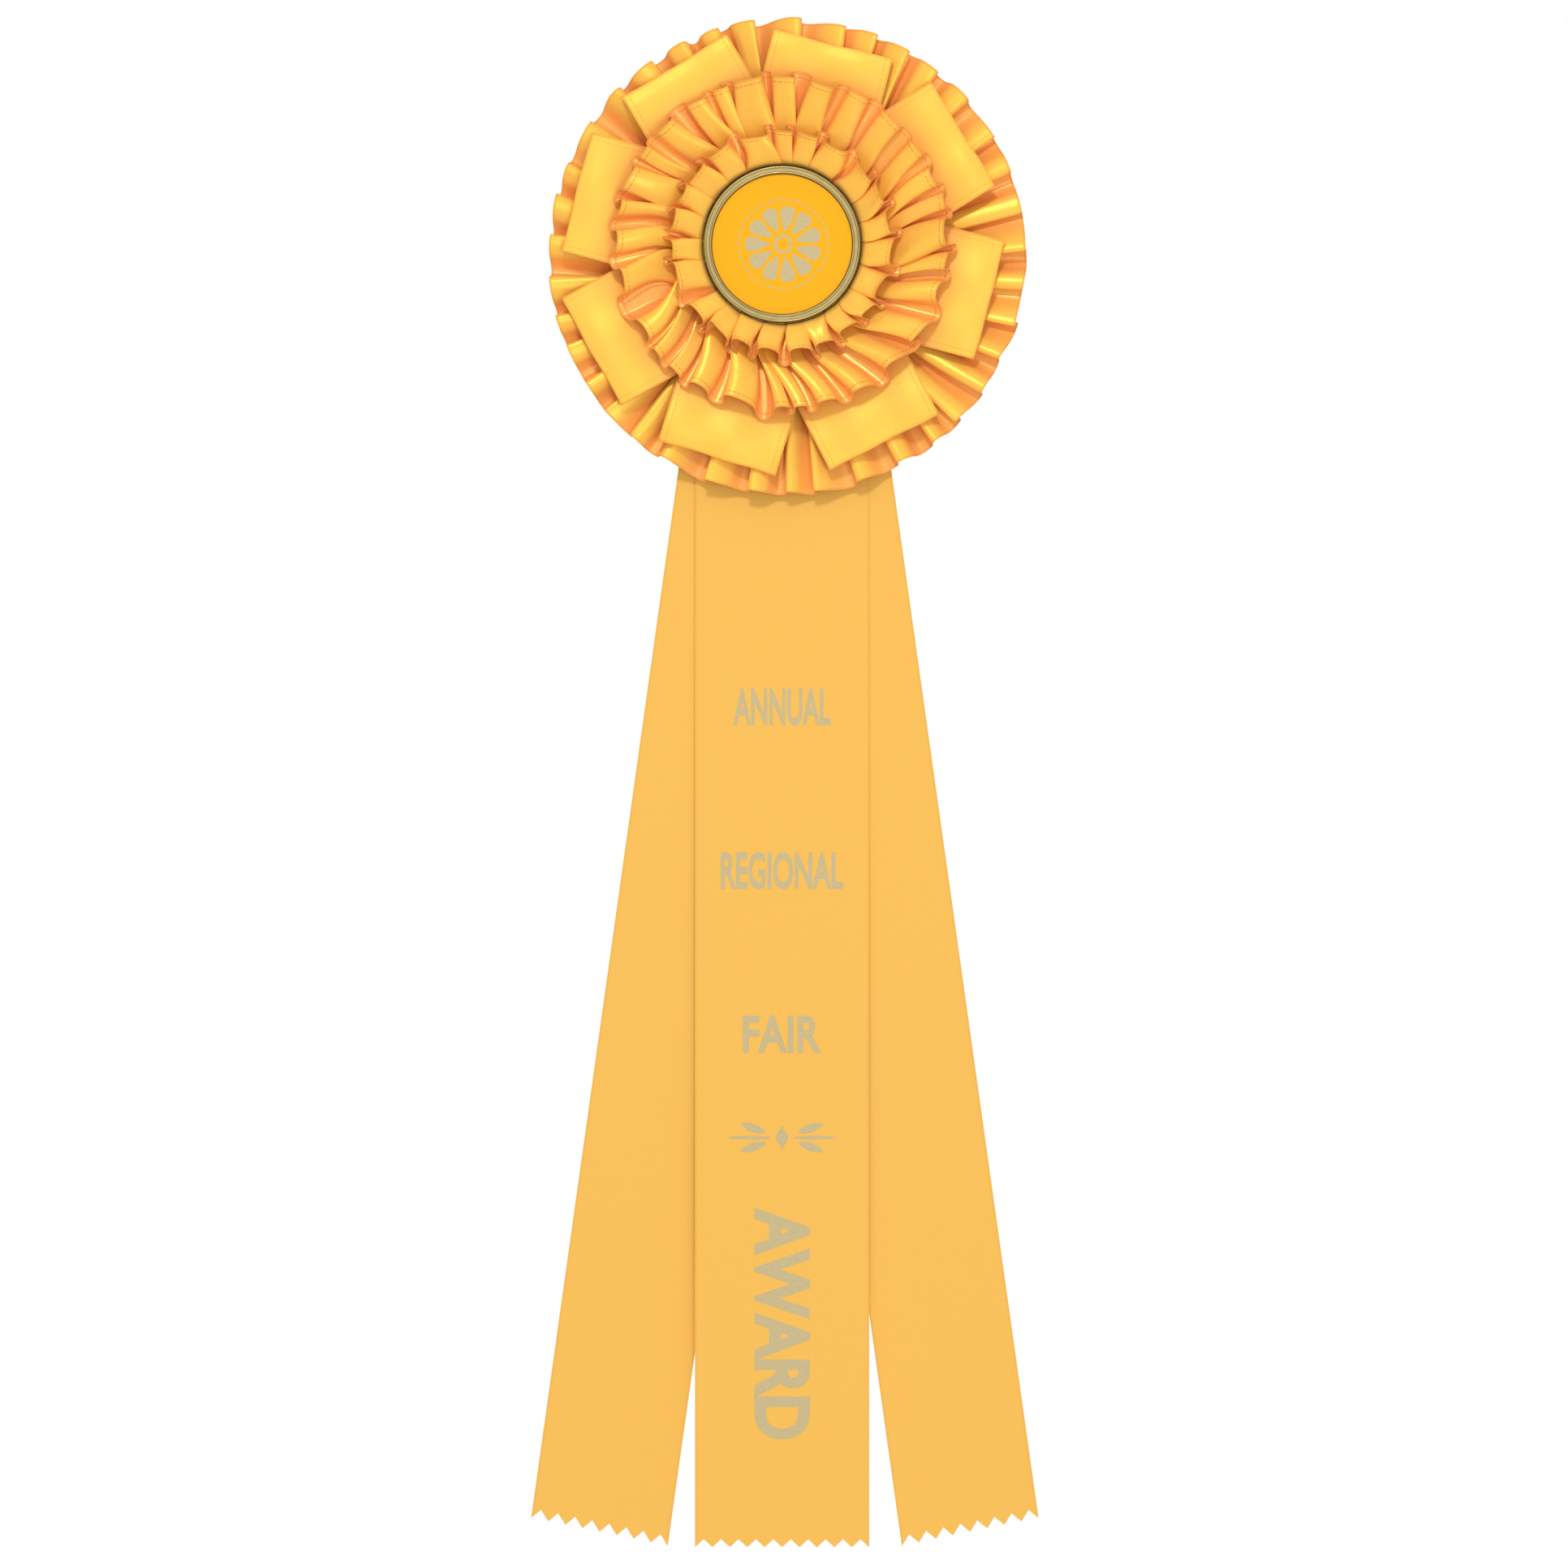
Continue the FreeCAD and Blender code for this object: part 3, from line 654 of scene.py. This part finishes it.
class ROSETTE_OT_ruffles(bpy.types.Operator):
    """Gather the outer, middle and inner ruffles onto their cards"""

    bl_idname = "rosette.ruffles"
    bl_label = "Ruffles"

    def execute(self, context):
        scene = context.scene
        finish = scene.rosette_finish
        lit, painted_fold_shade = finish.lit, finish.painted_fold_shade
        centre = Vector((1.9 * MM, 0, 0))
        make_ruffle(
            "outer_ruffle_satin", scene.rosette_outer, 20 * MM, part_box("outer_card")[1].x,
            front("outer_card"), 2.7 * MM, 1.9 * MM, centre, 0.4 * MM, 0.32, 0.85,
            satin("outer_satin", lit, painted_fold_shade, 0.067, 0.0, 0.10, 0.33), "outer_ruffle")
        make_ruffle(
            "middle_ruffle_satin", scene.rosette_middle, 18 * MM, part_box("middle_card")[1].x,
            front("middle_card"), 2.4 * MM, 6.5 * MM, HEART, 0.3 * MM, 0.0, 0.75,
            satin("middle_satin", lit, painted_fold_shade, 0.0473, 1.0, 0.10, 0.31, 1.2), "middle_ruffle")
        make_ruffle(
            "inner_ruffle_satin", scene.rosette_inner, 17 * MM, 28.7 * MM,
            front("inner_card"), 2.2 * MM, 3.9 * MM, HEART, 0.6 * MM, 0.0, 0.34,
            satin("inner_satin", lit, painted_fold_shade, 0.02935, 1.0, 0.10, 0.31, 1.2, 2.0), "inner_ruffle")
        return {"FINISHED"}


class ROSETTE_OT_loops(bpy.types.Operator):
    """Fold the eight loops over their rolled edges"""

    bl_idname = "rosette.loops"
    bl_label = "Loops"

    def execute(self, context):
        ribbon = context.scene.rosette_ribbon
        finish = context.scene.rosette_finish
        cloth = satin("loop_satin", finish.lit, finish.painted_fold_shade, ribbon.loop_width, 0.45, 0.10, 0.42, 0.5)
        for k, (turn, reach, roll) in enumerate(self.hand()):
            points, along, across, fold, path = self.loop(ribbon, turn, reach, roll, 30 + k)
            # fold carries the loop's painted shade mask into the mesh.
            mesh = sheet_mesh(f"loop_{k + 1}_satin", points, along, across, ribbon.cloth, fold=fold)
            piece = place(f"loop_{k + 1}_satin", mesh, "rosette", cloth, [f"loop_{k + 1}"])
        return {"FINISHED"}

    def hand(self):
        """Each loop's turn about the heart in degrees, its reach and its roll, as a hand lays them."""
        turns = (14.3, 58.5, 104.9, 152.6, 197, 240.7, 284.5, 329)
        reaches = (-2.0, -0.1, 0.8, 3.4, 3.6, 2.1, -0.2, -1.4)
        rolls = (-1.5, 1.0, 1.5, -1.0, 2.0, -1.5, -1.0, -2.0)
        return zip(turns, reaches, rolls)

    def loop(self, ribbon, turn, reach, roll, seed):
        """One folded ribbon.

        Its side view runs out along the card, round a half circle and back over the top, where the level
        falls towards the heart as a quarter sine, with a low half-sine swell near the fold. Its half width
        is the ribbon's, or half the space between its neighbours where that is less. A real loop is pinched
        there instead, so this one holds less cloth than its flat ribbon.
        """
        rear_y = front("loop_card")
        start, card = 10 * MM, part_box("loop_card")[1].x
        fold = ribbon.loop_fold
        turn_r = ribbon.loop_reach + reach * MM - fold
        low = ribbon.cloth / 2
        top = rear_y - rear("middle_card") - ribbon.cloth
        centre = 5.95 * MM
        out = np.linspace(start, turn_r, 40)
        rise = ease((out - card) / (turn_r - card))
        under = np.stack([out, low + (centre - fold - low) * rise], -1)
        bend = np.linspace(-np.pi / 2, np.pi / 2, 18)[1:-1]
        rolled = np.stack([turn_r + fold * np.cos(bend), centre + fold * np.sin(bend)], -1)
        back = out[::-1]
        fall = np.sin(np.pi / 2 * np.clip((back - card) / (turn_r - card), 0, 1))
        swell = 0.7 * MM * np.sin(np.pi * np.clip((turn_r - back) / (15 * MM), 0, 1) ** 0.7)
        over = np.stack([back, top + (centre + fold - top) * fall + swell], -1)
        side = np.concatenate([under, rolled, over])
        span = np.concatenate([[0], np.cumsum(np.linalg.norm(np.diff(side, axis=0), axis=1))])
        share = np.linspace(-0.5, 0.5, 25)
        r, level = side[:, 0][:, None], side[:, 1][:, None]
        half = np.minimum(ribbon.loop_width / 2, r * math.tan(math.radians(22.3)) - 0.2 * MM)
        x = 2 * half * share[None, :]
        upper = ease((span - 0.45 * span[-1]) / (0.1 * span[-1]))[:, None]
        far = ease((r - card) / (turn_r - card))
        noise = smooth_noise(np.linspace(0, 1, 25), seed, 1, 2)[None, :]
        level = level + upper * far * (0.35 * MM * noise + math.radians(roll) * x)
        level = level + upper * far * 0.3 * MM * (1 - (2 * share[None, :]) ** 2)
        r = r + far * (0.15 * MM * noise)
        a = math.radians(turn)
        shape = np.broadcast(x, level)
        x, level, r = (np.broadcast_to(q, shape.shape) for q in (x, level, r))
        points = np.stack([HEART.x + r * math.sin(a) + x * math.cos(a), rear_y - level,
                           HEART.z + r * math.cos(a) - x * math.sin(a)], -1)
        along = np.repeat(span[:, None], 25, 1) / MM
        across = np.repeat((share[None, :] + 0.5) * ribbon.loop_width, span.size, 0) / MM
        # Painted shade mask for the fold attribute: the upper leg darkens towards the heart, where the middle
        # ruffle shades it, and the hidden under leg stays at 0.2.
        depth = 1 - 0.85 * (1 - ease((r - 54 * MM) / (21 * MM))) * np.ones_like(r)
        return points, along, across, np.where(upper > 0.5, depth, 0.2), span[-1]


class ROSETTE_OT_streamers(bpy.types.Operator):
    """Hang the three pinked streamers behind the ruffles"""

    bl_idname = "rosette.streamers"
    bl_label = "Streamers"

    def execute(self, context):
        finish = context.scene.rosette_finish
        sizes = {
            "left": (50.8 * MM, 8.0, 9.3 * MM, 478.9 * MM, 3.6, -1.2 * MM, 3.6 * MM),
            "right": (50.8 * MM, -8.0, 23.4 * MM, 493.1 * MM, -3.6, -0.8 * MM, 3.6 * MM),
            "centre": (63.5 * MM, 0.0, 0.0, 470.2 * MM, 0.0, 1.4 * MM, 2.9 * MM),
        }
        for name, (width, splay, pivot, drop, skew, bow, notch) in sizes.items():
            cloth = satin(f"{name}_streamer_satin", finish.streamer, finish.painted_fold_shade, width, 0.0, 0.10,
                          0.55, 0.0, streaks=0.12)
            self.hang(context.scene.rosette_ribbon, name, width, splay, pivot, drop, skew, bow, notch, cloth)
        return {"FINISHED"}

    def hang(self, ribbon, name, width, splay, pivot, drop, skew, bow, notch, cloth):
        """One flat ribbon.

        A point is (across, down) turned by the splay about its pivot. Its lower end is cut in a triangle
        wave. It bows out of its own plane as the one-and-a-half power of the free length, with a ripple that
        grows with the square of it.
        """
        teeth = round(width / ribbon.tooth)
        columns, rows = teeth * 8 + 1, 150
        share = np.linspace(-0.5, 0.5, columns)[None, :]
        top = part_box(f"{name}_streamer_head")[1].z
        start = pivot - top
        wave = np.abs((share + 0.5) * teeth - np.round((share + 0.5) * teeth)) * 2
        end = drop + share * width * math.tan(math.radians(skew)) - notch * wave
        v = np.linspace(0, 1, rows)[:, None]
        near_end = ease((v - 0.9) / 0.1) * (end - drop)
        down = start + (drop - start) * v + near_end
        a = math.radians(splay)
        x = share * width * math.cos(a) - down * math.sin(a)
        z = pivot - share * width * math.sin(a) - down * math.cos(a)
        y = (front(f"{name}_streamer_head") + rear(f"{name}_streamer_head")) / 2
        free = np.clip((down - HELD) / (drop - HELD), 0, 1)
        ripple = np.sin(down / (92 * MM) + 3 * share + 7 * abs(splay)) * 0.5 * MM
        y = y - bow * free ** 1.5 * (1 + 0.4 * np.cos(3 * share)) - ripple * free ** 2
        points = np.stack([x, y, z], -1)
        along = np.broadcast_to(down, points.shape[:2]) / MM
        across = np.broadcast_to((share + 0.5) * width, points.shape[:2]) / MM
        mesh = sheet_mesh(f"{name}_streamer_satin", points, along, across, ribbon.cloth)
        piece = place(f"{name}_streamer_satin", mesh, None, cloth,
                      [f"{name}_streamer_head", f"{name}_streamer_tail"])
        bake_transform(piece)


class ROSETTE_OT_lettering(bpy.types.Operator):
    """Press the foil words and the flourish into the centre streamer"""

    bl_idname = "rosette.lettering"
    bl_label = "Lettering"

    def execute(self, context):
        pressed = foil("streamer_foil", context.scene.rosette_finish.foil)
        level, downwards = 0.0, 90.0
        for name, text, z, wide, tall, turn, weight in (
                ("line_one", "ANNUAL", -163.9, 35.4, 13.6, level, 0.026),
                ("line_two", "REGIONAL", -223.6, 44.6, 13.6, level, 0.026),
                ("line_three", "FAIR", -283.2, 28.6, 13.6, level, 0.026),
                ("place_word", "AWARD", -388.7, 84.5, 20.4, downwards, 0.036)):
            self.word(name, text, (0, z * MM), wide * MM, tall * MM, turn, weight, pressed)
        self.flourish(pressed)
        return {"FINISHED"}

    def word(self, name, text, centre, wide, tall, turn, weight, pressed):
        """A word scaled to a width and a height about its middle, then turned clockwise."""
        data = bpy.data.curves.new(name, "FONT")
        data.body = text
        data.offset = weight
        data.extrude = 0.01
        data.resolution_u = 6
        typed = bpy.data.objects.new(name, data)
        bpy.context.scene.collection.objects.link(typed)
        mesh = bpy.data.meshes.new_from_object(typed.evaluated_get(
            bpy.context.evaluated_depsgraph_get()))
        bpy.data.objects.remove(typed)
        co = np.empty(len(mesh.vertices) * 3)
        mesh.vertices.foreach_get("co", co)
        co = co.reshape(-1, 3)
        low, high = co.min(0), co.max(0)
        flat = (co - (low + high) / 2) / (high - low) * (wide, tall, 1.0)
        a = math.radians(turn)
        x = centre[0] + flat[:, 0] * math.cos(a) + flat[:, 1] * math.sin(a)
        z = centre[1] - flat[:, 0] * math.sin(a) + flat[:, 1] * math.cos(a)
        self.press(name, mesh, x, z, flat[:, 2] > 0, pressed)

    def press(self, name, mesh, x, z, top, pressed):
        """Lays a flat print onto the streamer: its back just under the cloth, its face just proud."""
        y = streamer_front(x, z) + np.where(top, -0.05 * MM, 0.06 * MM)
        mesh.vertices.foreach_set("co", np.stack([x, y, z], -1).reshape(-1))
        outward(mesh)
        mesh.set_sharp_from_angle(angle=math.radians(30))
        place(name, mesh, "centre_tail", pressed)

    def flourish(self, pressed):
        """A divider: an upright diamond between two level stems, each with a leaf above and below it.

        Every part is a straight pen stroke. Its width swells from a thin end to its widest in the middle
        as a power of a cosine: a small power gives a bar, a large one a point.
        """
        strokes = [(0.0, -4.6, 0.0, 4.6, 4.4, 2.0)]
        for side in (-1, 1):
            strokes.append((side * 4.2, 0.0, side * 19.5, 0.0, 1.3, 0.5))
            for up in (-1, 1):
                strokes.append((side * 6.0, up * 1.9, side * 15.0, up * 5.0, 3.0, 0.8))
        outlines = []
        s = np.linspace(-1, 1, 25)
        for x0, z0, x1, z1, widest, power in strokes:
            x = (x0 + (x1 - x0) * (s + 1) / 2) * MM
            z = (z0 + (z1 - z0) * (s + 1) / 2) * MM
            width = 0.2 + (widest - 0.2) * np.cos(s * np.pi / 2).clip(0) ** power
            outlines += stroke(x, z, width * MM)
        mesh = plate_mesh("flourish", outlines, 0.0, -1.0)
        co = np.empty(len(mesh.vertices) * 3)
        mesh.vertices.foreach_get("co", co)
        co = co.reshape(-1, 3)
        self.press("flourish", mesh, co[:, 0], co[:, 2] + FLOURISH_Z, co[:, 1] < -0.5, pressed)


def stroke(x, z, width):
    """The quads of a pen stroke: the path moved half its width to either side along its normal."""
    dx, dz = np.gradient(x), np.gradient(z)
    size = np.hypot(dx, dz)
    nx, nz = -dz / size * width / 2, dx / size * width / 2
    left = np.stack([x + nx, z + nz], -1)
    right = np.stack([x - nx, z - nz], -1)
    return [np.array([left[k], left[k + 1], right[k + 1], right[k]]) for k in range(len(x) - 1)]


def streamer_front(x, z):
    """The Y of the centre streamer's front face under a print, read from its finished mesh."""
    mesh = bpy.data.objects["centre_streamer_satin"].data
    co = np.empty(len(mesh.vertices) * 3)
    mesh.vertices.foreach_get("co", co)
    co = co.reshape(-1, 3)
    co = co[: len(co) // 2] if co[0, 1] < co[len(co) // 2, 1] else co[len(co) // 2:]
    rows = np.round((x[:, None] - co[None, :81, 0]) / MM, 6)
    column = np.abs(rows).argmin(1)
    grid = co.reshape(-1, 81, 3)
    return np.array([np.interp(-q, -grid[:, c, 2], grid[:, c, 1]) for q, c in zip(z, column)])


class ROSETTE_OT_emblem(bpy.types.Operator):
    """Press the foil emblem into the button: a daisy with a round eye inside a ring of dots"""

    bl_idname = "rosette.emblem"
    bl_label = "Emblem"

    def execute(self, context):
        pressed = foil("button_foil", context.scene.rosette_finish.foil)
        outlines = []
        outlines += self.petals(11, 4.6 * MM, 14.0 * MM, 7.6 * MM)
        outlines += self.ring(2.9 * MM, 1.1 * MM, 48)
        outlines += self.leaves(40, 16.2 * MM, 1.2 * MM, 1.2 * MM, 0.0)
        outlines = [line + np.array([HEART.x + 0.4 * MM, HEART.z]) for line in outlines]
        face = front("button_face")
        mesh = plate_mesh("emblem", outlines, face + 0.03 * MM, face - 0.05 * MM)
        place("emblem", mesh, "rosette", pressed)
        return {"FINISHED"}

    def ring(self, radius, width, sides):
        """A thin circle as quads."""
        turn = np.linspace(0, 2 * np.pi, sides + 1)
        return stroke(radius * np.cos(turn), radius * np.sin(turn), np.full(sides + 1, width))

    def petals(self, number, near, far, wide):
        """Round-ended petals: each half width grows as a power of the way out and closes as a circle."""
        t = np.linspace(0, 1, 12)
        half = wide / 2 * t ** 0.8 * np.sqrt(np.maximum(0, 1 - t ** 6))
        out = near + (far - near) * t
        outline = np.concatenate([np.stack([out, half], -1), np.stack([out, -half], -1)[-2:0:-1]])
        turns = 2 * np.pi * (np.arange(number) + 0.5) / number
        return [np.stack([outline[:, 0] * math.cos(a) - outline[:, 1] * math.sin(a),
                          outline[:, 0] * math.sin(a) + outline[:, 1] * math.cos(a)], -1) for a in turns]

    def leaves(self, number, radius, long, wide, slant):
        """Lens-shaped leaves round a circle: two mirrored sine arcs along an axis slanted from the
        radius."""
        t = np.linspace(0, 1, 9)
        lens = np.concatenate([np.stack([t - 0.5, -np.sin(np.pi * t) / 2], -1),
                               np.stack([0.5 - t, np.sin(np.pi * t) / 2], -1)[1:-1]])
        made = []
        for k in range(number):
            a = 2 * math.pi * k / number
            b = a + slant
            axis = np.array([math.cos(b), math.sin(b)])
            side = np.array([-math.sin(b), math.cos(b)])
            middle_point = radius * np.array([math.cos(a), math.sin(a)])
            made.append(middle_point + lens[:, :1] * long * axis + lens[:, 1:] * wide * side)
        return made


class ROSETTE_OT_hardware(bpy.types.Operator):
    """Give the button, the cards, the staples, the thread, the glue and the bar pin their finishes"""

    bl_idname = "rosette.hardware"
    bl_label = "Hardware"

    def execute(self, context):
        finish = context.scene.rosette_finish
        card = board("kraft_board", (0.62, 0.48, 0.30))
        white = board("back_board", (0.86, 0.84, 0.78), 0.7)
        wire = metal("staple_wire", (0.62, 0.62, 0.63), 0.3, (400, 4000, 400))
        nickel = metal("nickel_plate", (0.70, 0.68, 0.64), 0.22, (300, 3000, 3000))
        steel = metal("pin_wire", (0.72, 0.72, 0.73), 0.16, (200, 5000, 5000))
        tin = metal("tinplate", (0.66, 0.64, 0.60), 0.32, (900, 900, 900))
        cotton = thread("sewing_thread", (0.90, 0.50, 0.12))
        glue = hot_glue("set_glue", (0.88, 0.78, 0.50))
        finishes = {
            "button_rim": antique_brass("antique_brass"), "button_board": card, "button_prongs": tin,
            "button_face": button_satin("button_face_satin", finish.face),
            "back_card": white, "outer_card": card, "loop_card": card, "middle_card": card,
            "inner_card": card, "streamer_staples": wire, "loop_staples": wire,
            "outer_stitches": cotton, "middle_stitches": cotton, "inner_stitches": cotton,
            "outer_glue": glue, "loop_glue": glue, "middle_glue": glue,
            "pin_bar": nickel, "pin_rivet": nickel, "catch_rotor": nickel, "pin_stem": steel,
        }
        for node, material in finishes.items():
            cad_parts[node].material_slots[0].material = material
        return {"FINISHED"}


class ROSETTE_OT_stage(bpy.types.Operator):
    """Lay the pale floor and hang the soft lights and the white surround"""

    bl_idname = "rosette.stage"
    bl_label = "Stage"

    def execute(self, context):
        floor_mesh = bpy.data.meshes.new("floor")
        x, y, z = 0.6, 0.45, -0.56
        floor_mesh.from_pydata([(-x, -y, z), (x, -y, z), (x, y, z), (-x, y, z)], [], [(0, 1, 2, 3)])
        floor = bpy.data.objects.new("floor", floor_mesh)
        context.scene.collection.objects.link(floor)
        floor_mesh.materials.append(plain_stage("floor_paint", (0.90, 0.90, 0.89)))
        self.light("key", (-0.15, -1.75, 0.95), (0, 0, -0.10), 0.22, 14.0)
        self.light("front", (0.75, -2.6, -0.45), (0, 0, -0.15), 1.0, 13.0)
        self.surround(context.scene, 0.74)
        context.scene.view_settings.view_transform = "Standard"
        return {"FINISHED"}

    def light(self, name, place_at, aim, size, power):
        data = bpy.data.lights.new(name, "AREA")
        data.shape = "SQUARE"
        data.size = size
        data.energy = power
        lamp = bpy.data.objects.new(name, data)
        bpy.context.scene.collection.objects.link(lamp)
        lamp.location = place_at
        lamp.rotation_euler = (Vector(aim) - Vector(place_at)).to_track_quat("-Z", "Y").to_euler()

    def surround(self, scene, strength):
        """A white surround that shows as pure white and lights the object more softly."""
        world = bpy.data.worlds.new("surround")
        world.use_nodes = True
        scene.world = world
        tree = world.node_tree
        background = tree.nodes["Background"]
        background.inputs["Color"].default_value = (1, 1, 1, 1)
        path = tree.nodes.new("ShaderNodeLightPath")
        level = tree.nodes.new("ShaderNodeMapRange")
        level.inputs["To Min"].default_value = strength
        level.inputs["To Max"].default_value = 1.0
        tree.links.new(path.outputs["Is Camera Ray"], level.inputs["Value"])
        tree.links.new(level.outputs[0], background.inputs["Strength"])


class ROSETTE_PT_panel(bpy.types.Panel):
    """Lists the rosette's settings and makers"""

    bl_idname = "ROSETTE_PT_panel"
    bl_label = "Rosette"
    bl_space_type = "VIEW_3D"
    bl_region_type = "UI"
    bl_category = "Rosette"

    def draw(self, context):
        for group in SETTINGS:
            settings = getattr(context.scene, group)
            for field in settings.__annotations__:
                self.layout.prop(settings, field)
        for maker in MAKERS:
            self.layout.operator(maker.bl_idname)


SETTINGS = {
    "rosette_outer": OuterRuffleSettings,
    "rosette_middle": MiddleRuffleSettings,
    "rosette_inner": InnerRuffleSettings,
    "rosette_ribbon": RibbonSettings,
    "rosette_finish": FinishSettings,
}
MAKERS = (
    ROSETTE_OT_camera,
    ROSETTE_OT_ruffles,
    ROSETTE_OT_loops,
    ROSETTE_OT_streamers,
    ROSETTE_OT_lettering,
    ROSETTE_OT_emblem,
    ROSETTE_OT_hardware,
    ROSETTE_OT_stage,
)


def register():
    for group in SETTINGS.values():
        bpy.utils.register_class(group)
    for maker in (*MAKERS, ROSETTE_PT_panel):
        bpy.utils.register_class(maker)
    for name, group in SETTINGS.items():
        setattr(bpy.types.Scene, name, bpy.props.PointerProperty(type=group))


def unregister():
    for name in SETTINGS:
        delattr(bpy.types.Scene, name)
    for maker in (ROSETTE_PT_panel, *reversed(MAKERS)):
        bpy.utils.unregister_class(maker)
    for group in reversed(list(SETTINGS.values())):
        bpy.utils.unregister_class(group)


def main():
    register()
    bpy.ops.rosette.camera()
    bpy.ops.rosette.ruffles()
    bpy.ops.rosette.loops()
    bpy.ops.rosette.streamers()
    bpy.ops.rosette.lettering()
    bpy.ops.rosette.emblem()
    bpy.ops.rosette.hardware()
    bpy.ops.rosette.stage()
    bpy.context.view_layer.update()


if __name__ == "__main__":
    main()
